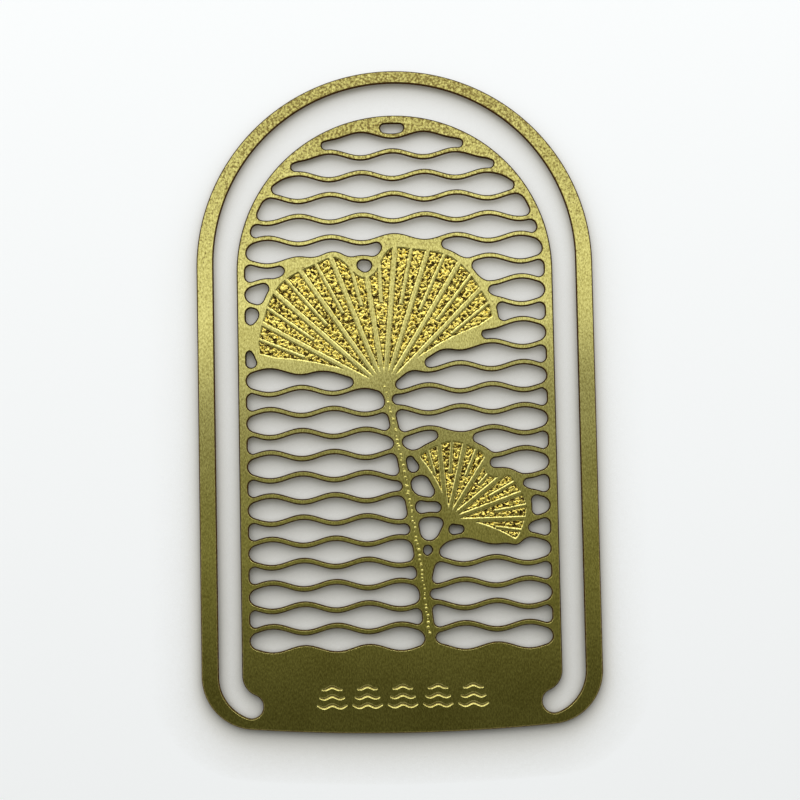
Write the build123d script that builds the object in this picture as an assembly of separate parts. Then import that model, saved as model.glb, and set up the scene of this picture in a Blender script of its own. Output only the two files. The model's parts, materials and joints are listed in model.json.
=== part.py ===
from build123d import *

import math
import os
from dataclasses import dataclass

# A flat clip bookmark, photo-etched from one thin brass sheet.
#
# An arched outer loop and an arched inner tongue share one solid plaque at the bottom edge.
# A slot parts the loop from the tongue, so a page slips between them, and both spring out of the
# sheet's plane about one flex line just above the plaque.
# The tongue is a lattice of rippled bars inside a plain rim, with two fan-shaped leaves on a stem.
#
# Millimetres. The sheet lies flat: +Z is up through its thickness, +Y points from the plaque to the arch,
# and the origin is the middle of the outline on the back face.

# Sheet
overall_width = 45.0
overall_height = 75.0
sheet_thickness = 0.5

# Outer loop: the legs are parallel and the band narrows a little towards the crown of the arch
leg_width = 1.95
crown_width = 1.47
corner_radius = 6.0
bottom_bow = 0.65

# Slot between the loop and the tongue, with a hooked round end at each side of the plaque
slot_width = 2.6
crown_gap = 3.68
hook_radius = 3.7
hook_turn = 68.0

# Plaque: the solid band at the bottom, up to the mean height of its rippled upper edge
plaque_height = 9.6

# Tongue: rim and rippled bars, which fill the window at one pitch from its crown down to the plaque
rim_width = 1.0
bar_width = 0.65
bar_count = 24
crown_bar_drop = 1.015
ripple_length = 7.2
ripple_height = 0.37

# Flex line: each strip that crosses it ends in a half-round edge that turns in a half-round seat
flex_clearance = 0.015

# Leaves: fans of half-etched cells between raised veins, inside a plain border
leaf_border = 0.7
vein_width = 0.4
relief_depth = 0.18
large_leaf_side_gap = 0.65
small_leaf_side_gap = 2.1
large_leaf_angle = 98.0
small_leaf_angle = 48.0
large_leaf_cells = 8
small_leaf_cells = 6
leaf_half_angle = 70.0
cell_half_angle = 58.0
notch_half_angle = 7.0
scallop_count = 5
margin_steps = 36
cell_steps = 4
notch_share = 0.24
scallop_share = 0.035
shoulder_share = 0.16
shoulder_power = 6
side_sag_share = 0.05
cell_root_share = 0.22
stalk_root_share = 0.06

# Leaf places: the foot as a share of the window's half width and, below the crown bar, of the bar pitch,
# the fan's height as a share of the bar pitch, and the share of its reach that it spreads towards the rim
large_leaf_x_share = -0.08
small_leaf_x_share = 0.32
large_leaf_row_share = 12.0
small_leaf_row_share = 18.15
large_leaf_height_share = 7.2
small_leaf_height_share = 4.0
large_leaf_spread_share = 0.85
small_leaf_spread_share = 0.96

# Stem: it leaves the plaque at a share of the window's half width, and the branch leaves it at a share
# of its run
stem_top_width = 0.95
stem_foot_width = 1.35
stem_bow = 0.55
stem_foot_x_share = 0.2
branch_width = 0.85
branch_bow = 0.5
branch_start_share = 0.8

# Plaque ornament: a row of engraved ripple marks, each of three strokes that shorten upwards
mark_count = 5
mark_pitch = 3.95
mark_stroke_pitch = 1.0
mark_stroke_width = 0.34
mark_stroke_height = 0.16
mark_stroke_length = 1.9
mark_depth = 0.12
mark_strokes = 3
mark_length = 3.2
mark_length_step = 0.55
mark_rise_share = 0.43

# Cuts run this far past the faces that they open
overrun = 1.0

# Worked out from the sizes above
half_width = overall_width / 2
half_height = overall_height / 2
loop_arch_y = half_height - half_width
loop_inner_half = half_width - leg_width
loop_inner_arch_y = half_height - crown_width - loop_inner_half
tongue_half = loop_inner_half - slot_width
tongue_arch_y = half_height - crown_width - crown_gap - tongue_half
window_half = tongue_half - rim_width
plaque_edge_y = plaque_height - half_height
window_crown_y = tongue_arch_y + window_half
crown_bar_y = window_crown_y - crown_bar_drop
bar_pitch = (crown_bar_y - plaque_edge_y + bar_width / 2) / bar_count
flex_y = plaque_edge_y + (bar_pitch - bar_width) / 2
flex_radius = sheet_thickness / 2
bow_half_chord = half_width - corner_radius
bow_radius = (bow_half_chord**2 + bottom_bow**2) / (2 * bottom_bow)
bow_centre_y = bow_radius - half_height
corner_y = bow_centre_y - math.sqrt((bow_radius - corner_radius) ** 2 - bow_half_chord**2)
quarter_ripple = ripple_length / 4
large_leaf_x = large_leaf_x_share * window_half
small_leaf_x = small_leaf_x_share * window_half
large_leaf_y = crown_bar_y - large_leaf_row_share * bar_pitch
small_leaf_y = crown_bar_y - small_leaf_row_share * bar_pitch
large_leaf_reach = (window_half + large_leaf_x - large_leaf_side_gap) / large_leaf_spread_share
small_leaf_reach = (window_half - small_leaf_x - small_leaf_side_gap) / small_leaf_spread_share


@dataclass
class Leaf:
    """One fan leaf: its foot on the stem, the way that it points, its reach each way and its etched cells."""

    base: Vector
    direction: float
    reach: float
    height: float
    stalk: float
    cells: int

    def at(self, share, angle):
        """The point at a share of the leaf's reach, an angle in degrees to the left of its own axis."""
        turn = math.radians(self.direction + angle)
        return self.base + Vector(share * self.reach * math.cos(turn), share * self.height * math.sin(turn))

    def share(self, length):
        """A length on the leaf as a share of its mean reach."""
        return 2 * length / (self.reach + self.height)

    def foot(self, side):
        """The corner of the leaf's foot on its left (1) or right (-1) side."""
        turn = math.radians(self.direction + side * 90)
        return self.base + Vector(math.cos(turn), math.sin(turn)) * (self.stalk / 2)

    def margin(self, angle):
        """The outer edge as a share of the reach: a notched, softly scalloped fan with rounded shoulders."""
        notch = notch_share * math.exp(-((angle / notch_half_angle) ** 2))
        turn = math.radians(angle) * scallop_count
        scallop = scallop_share * math.sin(turn) ** 2
        shoulder = shoulder_share * abs(angle / leaf_half_angle) ** shoulder_power
        return 1 - notch - scallop - shoulder


def rectangle(x_low, x_high, y_low, y_high):
    """A rectangle between two corners."""
    middle = Pos((x_low + x_high) / 2, (y_low + y_high) / 2)
    return middle * Rectangle(x_high - x_low, y_high - y_low)


def across(y_low, y_high):
    """A rectangle between two heights that is wider than the sheet."""
    return rectangle(-half_width - overrun, half_width + overrun, y_low, y_high)


def arched(half, arch_y, foot_y):
    """A round-topped door shape of a half width, springing at arch_y, with a straight foot."""
    return rectangle(-half, half, foot_y, arch_y) + Pos(0, arch_y) * Circle(half)


def sheet_outline():
    """The whole sheet: an arched top, parallel sides, round corners and a gently bowed bottom edge."""
    corner = Vector(bow_half_chord, corner_y)
    bow_centre = Vector(0, bow_centre_y)
    tangent = bow_centre + (corner - bow_centre).normalized() * bow_radius
    corner_middle = corner + ((tangent - corner).normalized() + Vector(1, 0)).normalized() * corner_radius
    side, spring = Vector(half_width, corner_y), Vector(half_width, loop_arch_y)

    def mirrored(point):
        return Vector(-point.X, point.Y)

    edges = [
        ThreePointArc(spring, (0, half_height), mirrored(spring)),
        Line(mirrored(spring), mirrored(side)),
        ThreePointArc(mirrored(side), mirrored(corner_middle), mirrored(tangent)),
        ThreePointArc(mirrored(tangent), (0, -half_height), tangent),
        ThreePointArc(tangent, corner_middle, side),
        Line(side, spring),
    ]
    return make_face(edges)


def hook(side):
    """The slot's end on one side: its width swept round an arc towards the middle, with a round end."""
    centre_x = loop_inner_half - slot_width / 2 - hook_radius
    start, end = Vector(-1, 0), Vector(-1, 0).rotate(Axis.Z, hook_turn)
    middle = Vector(-1, 0).rotate(Axis.Z, hook_turn / 2)
    outer, inner = hook_radius + slot_width / 2, hook_radius - slot_width / 2
    edges = [
        ThreePointArc(start * outer, middle * outer, end * outer),
        Line(end * outer, end * inner),
        ThreePointArc(end * inner, middle * inner, start * inner),
        Line(start * inner, start * outer),
    ]
    bend = make_face(edges) + Pos(end * hook_radius) * Circle(slot_width / 2)
    left = Pos(-centre_x, corner_y) * bend
    return left if side < 0 else mirror(left, about=Plane.YZ)


def slot_face():
    """The slot that parts the loop from the tongue and frees the plaque's two lower corners."""
    inside = arched(loop_inner_half, loop_inner_arch_y, corner_y)
    return inside - arched(tongue_half, tongue_arch_y, corner_y) + hook(-1) + hook(1)


def ripple(distance, row):
    """How far a row's centre line stands above its mean height. Neighbouring rows mirror each other."""
    sign = 1 if row % 2 == 0 else -1
    return sign * ripple_height * math.cos(2 * math.pi * distance / ripple_length)


def bar_face(row):
    """One rippled bar, long enough to run past both sides of the window."""
    steps = math.ceil((window_half + overrun) / quarter_ripple)
    middle = crown_bar_y - (row - 1) * bar_pitch
    places = [step * quarter_ripple for step in range(-steps, steps + 1)]
    upper = [Vector(x, middle + ripple(x, row) + bar_width / 2) for x in places]
    lower = [Vector(x, middle + ripple(x, row) - bar_width / 2) for x in places]
    edges = [Spline(*upper), Line(upper[-1], lower[-1]), Spline(*lower), Line(lower[0], upper[0])]
    return make_face(edges)


def lowest_gap():
    """The open space between the plaque's rippled upper edge and the flex line."""
    steps = math.ceil((window_half + overrun) / quarter_ripple)
    places = [step * quarter_ripple for step in range(-steps, steps + 1)]
    edge = [Vector(x, plaque_edge_y + ripple(x, bar_count + 1)) for x in places]
    left, right = Vector(edge[0].X, flex_y + overrun), Vector(edge[-1].X, flex_y + overrun)
    return make_face([Spline(*edge), Line(edge[-1], right), Line(right, left), Line(left, edge[0])])


def bowed(start, end, bow):
    """The middle of a run between two points, moved aside by a bow."""
    return (start + end) / 2 + (end - start).normalized().rotate(Axis.Z, 90) * bow


def strip(start, end, bow, start_width, end_width):
    """A tapering strip along a bowed run, its ends cut square to the line between them."""
    sideways = (end - start).normalized().rotate(Axis.Z, 90)
    at_start, at_end = sideways * (start_width / 2), sideways * (end_width / 2)
    middle, at_middle = bowed(start, end, bow), (at_start + at_end) / 2
    edges = [
        ThreePointArc(start + at_start, middle + at_middle, end + at_end),
        Line(end + at_end, end - at_end),
        ThreePointArc(end - at_end, middle - at_middle, start - at_start),
        Line(start - at_start, start + at_start),
    ]
    return make_face(edges)


def leaf_face(leaf):
    """A leaf's outline: the fan-shaped margin and two hollow sides that run down to the stalk."""
    angles = [leaf_half_angle * (2 * step / margin_steps - 1) for step in range(margin_steps + 1)]
    margin = [leaf.at(leaf.margin(angle), angle) for angle in angles]
    right_foot, left_foot = leaf.foot(-1), leaf.foot(1)
    sag = leaf.at(side_sag_share, 0) - leaf.base
    edges = [
        Spline(*margin),
        ThreePointArc(margin[-1], (margin[-1] + left_foot) / 2 + sag, left_foot),
        Line(left_foot, right_foot),
        ThreePointArc(right_foot, (margin[0] + right_foot) / 2 + sag, margin[0]),
    ]
    return make_face(edges)


def cell_face(leaf, number):
    """One etched cell: the space between two veins, from near the stalk to the plain border."""
    step = 2 * cell_half_angle / leaf.cells
    low = number * step - cell_half_angle

    def beside_vein(share, angle, way):
        return leaf.at(share, angle + way * math.degrees(leaf.share(vein_width) / 2 / share))

    def border(angle):
        return leaf.margin(angle) - leaf.share(leaf_border)

    inner = [beside_vein(cell_root_share, low, 1), beside_vein(cell_root_share, low + step, -1)]
    between = [low + step * part / cell_steps for part in range(1, cell_steps)]
    margin = [
        beside_vein(border(low), low, 1),
        *[leaf.at(border(angle), angle) for angle in between],
        beside_vein(border(low + step), low + step, -1),
    ]
    edges = [Line(inner[0], margin[0]), Spline(*margin), Line(margin[-1], inner[1]), Line(inner[1], inner[0])]
    return make_face(edges)


def mark_faces():
    """The strokes of every ripple mark on the plaque."""
    rise = mark_rise_share * plaque_height - half_height
    for mark in range(mark_count):
        middle_x = (mark - (mark_count - 1) / 2) * mark_pitch
        for stroke in range(mark_strokes):
            y = rise + (stroke - (mark_strokes - 1) / 2) * mark_stroke_pitch
            yield stroke_face(Vector(middle_x, y), mark_length - stroke * mark_length_step)


def stroke_face(middle, length):
    """One engraved stroke: a short rippled band with square ends."""
    quarter = mark_stroke_length / 4
    steps = math.ceil(length / 2 / quarter)
    places = [step * length / 2 / steps for step in range(-steps, steps + 1)]
    heights = [mark_stroke_height * math.cos(2 * math.pi * x / mark_stroke_length) for x in places]
    upper = [middle + Vector(x, y + mark_stroke_width / 2) for x, y in zip(places, heights)]
    lower = [middle + Vector(x, y - mark_stroke_width / 2) for x, y in zip(places, heights)]
    edges = [Spline(*upper), Line(upper[-1], lower[-1]), Spline(*lower), Line(lower[0], upper[0])]
    return make_face(edges)


def largest(region):
    """The largest face of a region, which leaves out the slivers of a slanting cut."""
    return Sketch(children=[max(region.faces(), key=lambda face: face.area)])


def plate(face):
    """A region of the sheet at its full thickness."""
    return extrude(face, amount=sheet_thickness)


def pocket(face, depth):
    """A cutter that sinks a region of the sheet's upper face to a depth."""
    return Pos(0, 0, sheet_thickness - depth) * extrude(face, amount=depth + overrun)


def flex_rod(x_low, x_high, radius):
    """A round bar along the flex line."""
    middle = Pos((x_low + x_high) / 2, flex_y, sheet_thickness / 2)
    return middle * Rot(0, 90, 0) * Cylinder(radius, x_high - x_low)


def flexing(face):
    """A strip above the flex line with the half-round edge that it turns on."""
    foot = face.edges().sort_by(Axis.Y)[0].bounding_box()
    return plate(face) + flex_rod(foot.min.X, foot.max.X, flex_radius)


def write(node, shape):
    """Writes one node's solids to its own file."""
    export_step(Compound(children=list(shape.solids())), os.path.join("parts", f"{node}.step"))


os.makedirs("parts", exist_ok=True)
above_flex = across(flex_y, half_height + overrun)
below_flex = across(-half_height - overrun, flex_y)
outline = sheet_outline()
slot = slot_face()
window = arched(window_half, tongue_arch_y, corner_y)
lattice = window & above_flex

# Leaves and stem
large_leaf = Leaf(
    Vector(large_leaf_x, large_leaf_y),
    large_leaf_angle,
    large_leaf_reach,
    large_leaf_height_share * bar_pitch,
    stem_top_width,
    large_leaf_cells,
)
small_leaf = Leaf(
    Vector(small_leaf_x, small_leaf_y),
    small_leaf_angle,
    small_leaf_reach,
    small_leaf_height_share * bar_pitch,
    branch_width,
    small_leaf_cells,
)
stem_top = large_leaf.at(stalk_root_share, 0)
stem_foot = Vector(stem_foot_x_share * window_half, plaque_edge_y - ripple_height - bar_width)
stem = strip(stem_top, stem_foot, stem_bow, stem_top_width, stem_foot_width)
branch_root = ThreePointArc(stem_top, bowed(stem_top, stem_foot, stem_bow), stem_foot) @ branch_start_share
branch_top = small_leaf.at(stalk_root_share, 0)
branch = strip(branch_root, branch_top, branch_bow, branch_width, branch_width)
large_face = leaf_face(large_leaf) & lattice
small_face = (leaf_face(small_leaf) & lattice) - large_face
stem_face = largest((stem & window) - large_face - small_face)
branch_face = largest((branch & lattice) - stem - large_face - small_face)
open_window = lattice - large_face - small_face - stem_face - branch_face

# Plaque: everything below the flex line, with the slot's hooked ends and the lowest row of holes cut out
plaque_face = (outline & below_flex) - slot - ((lowest_gap() & window) - stem_face)
seat_reach = half_width + overrun
plaque = plate(plaque_face) - flex_rod(-seat_reach, seat_reach, flex_radius + flex_clearance)
for mark_face in mark_faces():
    plaque -= pocket(mark_face, mark_depth)
write("base_plaque", plaque)

# Outer loop: two legs and the arch that joins them
loop = (outline & above_flex) - arched(loop_inner_half, loop_inner_arch_y, corner_y)
loop_legs = loop & across(flex_y, loop_arch_y)
write("loop_leg_left", flexing(loop_legs & rectangle(-half_width - overrun, 0, flex_y, loop_arch_y)))
write("loop_leg_right", flexing(loop_legs & rectangle(0, half_width + overrun, flex_y, loop_arch_y)))
write("loop_arch", plate(loop & across(loop_arch_y, half_height + overrun)))

# Tongue rim: two sides and an arch
rim = (arched(tongue_half, tongue_arch_y, corner_y) & above_flex) - window
write("rim_left", flexing(rim & rectangle(-tongue_half - overrun, 0, flex_y, tongue_arch_y)))
write("rim_right", flexing(rim & rectangle(0, tongue_half + overrun, flex_y, tongue_arch_y)))
write("rim_arch", plate(rim & across(tongue_arch_y, half_height)))

# Rippled bars, cut where they meet the rim, the leaves and the stem
for row in range(1, bar_count + 1):
    pieces = [face for face in (bar_face(row) & open_window).faces() if face.area > bar_width**2]
    write(f"ripple_bar_{row:02d}", plate(Sketch(children=pieces)))

# Leaves with their etched cells, and the stem that carries them
for node, leaf, face in (("leaf_large", large_leaf, large_face), ("leaf_small", small_leaf, small_face)):
    body = plate(face)
    for number in range(leaf.cells):
        body -= pocket(cell_face(leaf, number), relief_depth)
    write(node, body)
write("stem_main", flexing(stem_face & above_flex))
write("stem_branch", plate(branch_face))
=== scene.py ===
"""Dresses a flat brass page clip: an etched sheet with a rippled lattice, two relief leaves and a plaque.

The sheet is drawn as one plan, in millimetres, whose value at a point is the depth into the metal.
Its edges are traced, given an etched section and cut at the flex line into plaque, loop and tongue.
"""

import json
import logging
import math
from collections.abc import Callable
from dataclasses import dataclass
from enum import Enum

import bmesh
import bpy
import numpy as np
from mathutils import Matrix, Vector
from mathutils.geometry import delaunay_2d_cdt
from mathutils.kdtree import KDTree


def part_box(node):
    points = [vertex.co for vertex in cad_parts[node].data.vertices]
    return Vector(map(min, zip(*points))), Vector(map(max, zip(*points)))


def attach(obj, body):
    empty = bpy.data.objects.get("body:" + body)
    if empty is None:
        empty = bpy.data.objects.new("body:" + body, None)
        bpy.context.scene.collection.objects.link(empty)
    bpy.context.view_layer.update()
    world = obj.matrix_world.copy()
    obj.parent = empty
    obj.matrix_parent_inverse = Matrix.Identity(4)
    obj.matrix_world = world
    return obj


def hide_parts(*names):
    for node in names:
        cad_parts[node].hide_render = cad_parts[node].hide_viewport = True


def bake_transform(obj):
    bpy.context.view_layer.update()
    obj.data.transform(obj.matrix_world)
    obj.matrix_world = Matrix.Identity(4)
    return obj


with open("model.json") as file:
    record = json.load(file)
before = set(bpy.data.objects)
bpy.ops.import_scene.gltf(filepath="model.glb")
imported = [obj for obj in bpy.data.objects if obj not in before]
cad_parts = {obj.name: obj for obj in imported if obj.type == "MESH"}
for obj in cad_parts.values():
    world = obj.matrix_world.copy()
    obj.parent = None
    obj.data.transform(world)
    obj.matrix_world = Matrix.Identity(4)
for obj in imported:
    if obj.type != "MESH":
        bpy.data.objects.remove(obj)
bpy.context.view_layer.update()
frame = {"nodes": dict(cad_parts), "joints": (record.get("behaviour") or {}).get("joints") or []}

LOGGER = logging.getLogger("page_clip")
MM = 0.001
Array = np.ndarray
Depth = Callable[[Array, Array], Array]
Triple = tuple[float, float, float]
SHADER = "Principled BSDF"


class Body(Enum):
    """Moving bodies of the clip, by their names in the frame."""

    BASE = "base"
    LOOP = "loop"
    TONGUE = "tongue"


class Slot(Enum):
    """Material slots of the record."""

    ROLLED = "rolled_brass"
    RELIEF = "etched_relief_brass"


class CapSide(Enum):
    """Which of its two faces a cap closes."""

    TOP = 1
    BACK = -1


class WindowSide(Enum):
    """Side of the window, by the sign of its places across."""

    LEFT = -1
    RIGHT = 1


def linear(colour: str) -> tuple[float, float, float, float]:
    """Turns an sRGB hex colour into linear RGBA.

    Args:
        colour: Hex colour such as "#C8B45A".

    Returns:
        The linear colour with full alpha.
    """
    parts = [int(colour[place:place + 2], 16) / 255 for place in (1, 3, 5)]
    red, green, blue = (p / 12.92 if p <= 0.04045 else ((p + 0.055) / 1.055) ** 2.4 for p in parts)
    return red, green, blue, 1.0


def connect(tree: bpy.types.NodeTree, node: bpy.types.Node, inputs: dict) -> None:
    """Sets and links inputs of a node.

    Args:
        tree: Tree that holds the node.
        node: Node that gets the inputs.
        inputs: Value, output socket or node for each input, by name or by index. A node stands for the
            first output that it has in use.
    """
    for key, value in inputs.items():
        if isinstance(value, bpy.types.Node):
            value = next(socket for socket in value.outputs if socket.enabled)
        if isinstance(value, bpy.types.NodeSocket):
            tree.links.new(value, node.inputs[key])
        else:
            node.inputs[key].default_value = value


def add_node(tree: bpy.types.NodeTree, kind: str, inputs: dict, **settings: object) -> bpy.types.Node:
    """Adds a node, sets it up and links it.

    Args:
        tree: Tree that gets the node.
        kind: Blender's identifier of the node type.
        inputs: Inputs of the node, as connect takes them.
        settings: Attributes of the node itself.

    Returns:
        The new node.
    """
    node = tree.nodes.new(kind)
    for name, value in settings.items():
        setattr(node, name, value)
    connect(tree, node, inputs)
    return node


@dataclass(frozen=True)
class Ramp:
    """An even change from one level to another while a value goes from its start to its end."""

    start: float
    end: float
    at_start: float = 0.0
    at_end: float = 1.0

    def of(self, value: bpy.types.NodeSocket | bpy.types.Node, unit: float = 1.0) -> dict:
        """Inputs of a Map Range node that follows a value, with start and end in a unit."""
        return {"Value": value, "From Min": self.start * unit, "From Max": self.end * unit,
                "To Min": self.at_start, "To Max": self.at_end}


@dataclass(frozen=True)
class Grain:
    """A cloudy pattern, by the size of its spots in millimetres."""

    size: float
    detail: float
    grit: float = 0.5

    def of(self, place: bpy.types.NodeSocket) -> dict:
        """Inputs of a Noise Texture node at a place in metres."""
        scale = 1 / (self.size * MM)
        return {"Vector": place, "Scale": scale, "Detail": self.detail, "Roughness": self.grit}


def new_material(name: str) -> tuple[bpy.types.Material, bpy.types.NodeTree]:
    """Starts a material and gives it with its node tree."""
    material = bpy.data.materials.new(name)
    material.use_nodes = True
    return material, material.node_tree


def new_object(name: str, data: bpy.types.ID) -> bpy.types.Object:
    """Puts an object with the data at the origin of the scene."""
    obj = bpy.data.objects.new(name, data)
    bpy.context.scene.collection.objects.link(obj)
    return obj


def add_attribute(mesh: bpy.types.Mesh, name: str, values: Array) -> None:
    """Stores a number at each point of a mesh."""
    mesh.attributes.new(name, "FLOAT", "POINT").data.foreach_set("value", values.astype(np.float32))


def smooth_step(low: float, high: float, value: Array) -> Array:
    """Eases from 0 at low to 1 at high."""
    part = np.clip((value - low) / (high - low), 0.0, 1.0)
    return part * part * (3.0 - 2.0 * part)


def arched(x: Array, y: Array, half: float, spring: float) -> Array:
    """Depth into a round-topped door shape of a half width that springs at a height and has no foot."""
    return half - np.where(y > spring, np.hypot(x, y - spring), np.abs(x))


def filleted(first: Array, second: Array, radius: Array) -> Array:
    """Depth into two joined shapes with a fillet of a radius in the corner between them."""
    corner = np.hypot(np.maximum(radius + first, 0.0), np.maximum(radius + second, 0.0))
    return corner - np.maximum(radius, -np.maximum(first, second))


def even_loop(loop: Array, spacing: float) -> Array:
    """Spaces the points of a closed loop evenly.

    Args:
        loop: Points of the loop, one row each.
        spacing: Largest distance along the loop from one point to the next.

    Returns:
        The new points.
    """
    closed = np.concatenate([loop, loop[:1]])
    travel = np.concatenate([[0.0], np.cumsum(np.hypot(*np.diff(closed, axis=0).T))])
    stations = np.linspace(0.0, travel[-1], math.ceil(travel[-1] / spacing), endpoint=False)
    return np.stack([np.interp(stations, travel, closed[:, axis]) for axis in (0, 1)], axis=-1)


def point_tree(points: Array) -> KDTree:
    """Sorts points in the plane so that the nearest one to a place is found quickly."""
    tree = KDTree(len(points))
    for index, (x, y) in enumerate(points.tolist()):
        tree.insert((x, y, 0.0), index)
    tree.balance()
    return tree


def polygon_depth(corners: Array, x: Array, y: Array) -> Array:
    """Measures the depth into a closed polygon.

    Args:
        corners: Corner points, one row each.
        x: Places across.
        y: Places along.

    Returns:
        Distance to the nearest side, negative outside the polygon.
    """
    nearest = np.full(x.shape, np.inf)
    inside = np.zeros(x.shape, bool)
    for (ax, ay), (bx, by) in zip(corners, np.roll(corners, -1, axis=0)):
        run_x, run_y = bx - ax, by - ay
        part = np.clip(((x - ax) * run_x + (y - ay) * run_y) / (run_x**2 + run_y**2), 0.0, 1.0)
        nearest = np.minimum(nearest, (x - ax - part * run_x) ** 2 + (y - ay - part * run_y) ** 2)
        if ay != by:
            inside ^= ((ay > y) != (by > y)) & (x < ax + (y - ay) * run_x / run_y)
    return np.where(inside, 1.0, -1.0) * np.sqrt(nearest)


@dataclass(frozen=True)
class Strip:
    """A tapering strip of metal along a bowed run, in millimetres."""

    start: Array
    end: Array
    bow: float
    start_width: float
    end_width: float
    steps: int = 16

    def at(self, part: Array) -> Array:
        """Points of the centre line at parts of its run, one row each."""
        run = self.end - self.start
        aside = np.array([-run[1], run[0]]) / np.hypot(*run)
        part = np.asarray(part)[..., None]
        return self.start + part * run + 4 * self.bow * part * (1 - part) * aside

    def depth(self, x: Array, y: Array) -> Array:
        """Depth into the strip."""
        parts = np.linspace(0.0, 1.0, self.steps + 1)
        line = self.at(parts)
        deepest = np.full(x.shape, -np.inf)
        for low, (ax, ay), (bx, by) in zip(parts, line, line[1:]):
            run_x, run_y = bx - ax, by - ay
            along = np.clip(((x - ax) * run_x + (y - ay) * run_y) / (run_x**2 + run_y**2), 0.0, 1.0)
            part = low + along / self.steps
            half = (self.start_width + part * (self.end_width - self.start_width)) / 2
            deepest = np.maximum(deepest, half - np.hypot(x - ax - along * run_x, y - ay - along * run_y))
        return deepest


@dataclass(frozen=True)
class FanLeaf:
    """A fan-shaped leaf with half-etched cells between raised veins, in millimetres and degrees."""

    name: str
    foot: Array
    direction: float
    reach: float
    height: float
    stalk: float
    cells: int
    border: float = 0.7
    vein_width: float = 0.4
    fork_width: float = 0.24
    half_angle: float = 70.0
    cell_half_angle: float = 66.0
    notch_half_angle: float = 7.0
    notch_share: float = 0.24
    scallops: int = 5
    scallop_share: float = 0.035
    shoulder_share: float = 0.16
    shoulder_power: int = 6
    sag_share: float = 0.05
    cell_root_share: float = 0.1
    fork_share: float = 0.56
    stalk_share: float = 0.06
    margin_steps: int = 96
    side_steps: int = 20
    outline_step: float = 0.3
    soften_steps: int = 2
    around: float = 2.0

    def at(self, share: Array, angle: Array) -> Array:
        """Points at shares of the leaf's reach and at angles to the left of its axis, one row each."""
        turn = np.radians(self.direction + np.asarray(angle))
        share = np.asarray(share)
        offset = np.stack([share * self.reach * np.cos(turn), share * self.height * np.sin(turn)], axis=-1)
        return self.foot + offset

    def margin(self, angle: Array) -> Array:
        """Outer edge as a share of the reach: notched, softly scalloped, with rounded shoulders."""
        notch = self.notch_share * np.exp(-((angle / self.notch_half_angle) ** 2))
        scallop = self.scallop_share * np.sin(np.radians(angle) * self.scallops) ** 2
        shoulder = self.shoulder_share * np.abs(angle / self.half_angle) ** self.shoulder_power
        return 1.0 - notch - scallop - shoulder

    def corners(self) -> Array:
        """Outline of the leaf: the margin and two hollow sides down to the stalk, with softened corners."""
        angles = np.linspace(-self.half_angle, self.half_angle, self.margin_steps + 1)
        margin = self.at(self.margin(angles), angles)
        across = np.radians(self.direction + 90.0)
        half_stalk = np.array([math.cos(across), math.sin(across)]) * self.stalk / 2
        sag = self.at(self.sag_share, 0.0) - self.foot
        parts = np.linspace(0.0, 1.0, self.side_steps + 1)[:, None]
        hollow = 4 * parts * (1 - parts) * sag
        left = margin[-1] + parts * (self.foot + half_stalk - margin[-1]) + hollow
        right = self.foot - half_stalk + parts * (margin[0] - self.foot + half_stalk) + hollow
        outline = even_loop(np.concatenate([margin, left[1:], right[:-1]]), self.outline_step)
        reach = range(-self.soften_steps, self.soften_steps + 1)
        return np.mean([np.roll(outline, shift, axis=0) for shift in reach], axis=0)

    def box(self, spare: float) -> tuple[Array, Array]:
        """Lowest and highest corner of the outline, with some room to spare."""
        corners = self.corners()
        return corners.min(axis=0) - spare, corners.max(axis=0) + spare

    def depth(self, x: Array, y: Array) -> Array:
        """Depth into the leaf's outline, measured near the leaf and cut off further away."""
        low, high = self.box(self.around)
        near = (x > low[0]) & (x < high[0]) & (y > low[1]) & (y < high[1])
        depth = np.full(x.shape, -self.around)
        depth[near] = np.maximum(polygon_depth(self.corners(), x[near], y[near]), -self.around)
        return depth

    def cell_depth(self, x: Array, y: Array) -> Array:
        """Distance into the nearest etched cell from the veins and the border that frame it."""
        across, along = (x - self.foot[0]) / self.reach, (y - self.foot[1]) / self.height
        share = np.hypot(across, along)
        angle = (np.degrees(np.arctan2(along, across)) - self.direction + 180.0) % 360.0 - 180.0
        radius = share * (self.reach + self.height) / 2
        step = 2 * self.cell_half_angle / self.cells
        place = (angle + self.cell_half_angle) / step
        vein = np.abs(place - np.clip(np.round(place), 0, self.cells))
        vein = np.radians(vein * step) * radius - self.vein_width / 2
        fork = np.radians(np.abs(place - np.floor(place) - 0.5) * step) * radius - self.fork_width / 2
        fork = np.maximum(fork, (self.fork_share - share) * self.reach)
        root = (share - self.cell_root_share) * self.reach
        border = self.depth(x, y) - self.border
        return np.minimum.reduce([vein, fork, root, border])


@dataclass(frozen=True)
class RippleMark:
    """One engraved stroke of the plaque's ripple marks, in millimetres."""

    x: float
    y: float
    length: float
    width: float = 0.36
    rise: float = 0.16
    wave: float = 1.9
    taper: float = 0.5

    def distance(self, x: Array, y: Array) -> Array:
        """Distance to the stroke's centre line, stretched towards the ends, where the stroke is thinner."""
        across = np.clip(x - self.x, -self.length / 2, self.length / 2)
        turn = 2 * math.pi / self.wave
        slope = self.rise * turn * np.sin(turn * across)
        gap = (y - self.y - self.rise * np.cos(turn * across)) / np.sqrt(1 + slope**2)
        return np.hypot(x - self.x - across, gap) / (1 - self.taper * (2 * across / self.length) ** 2)


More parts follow.
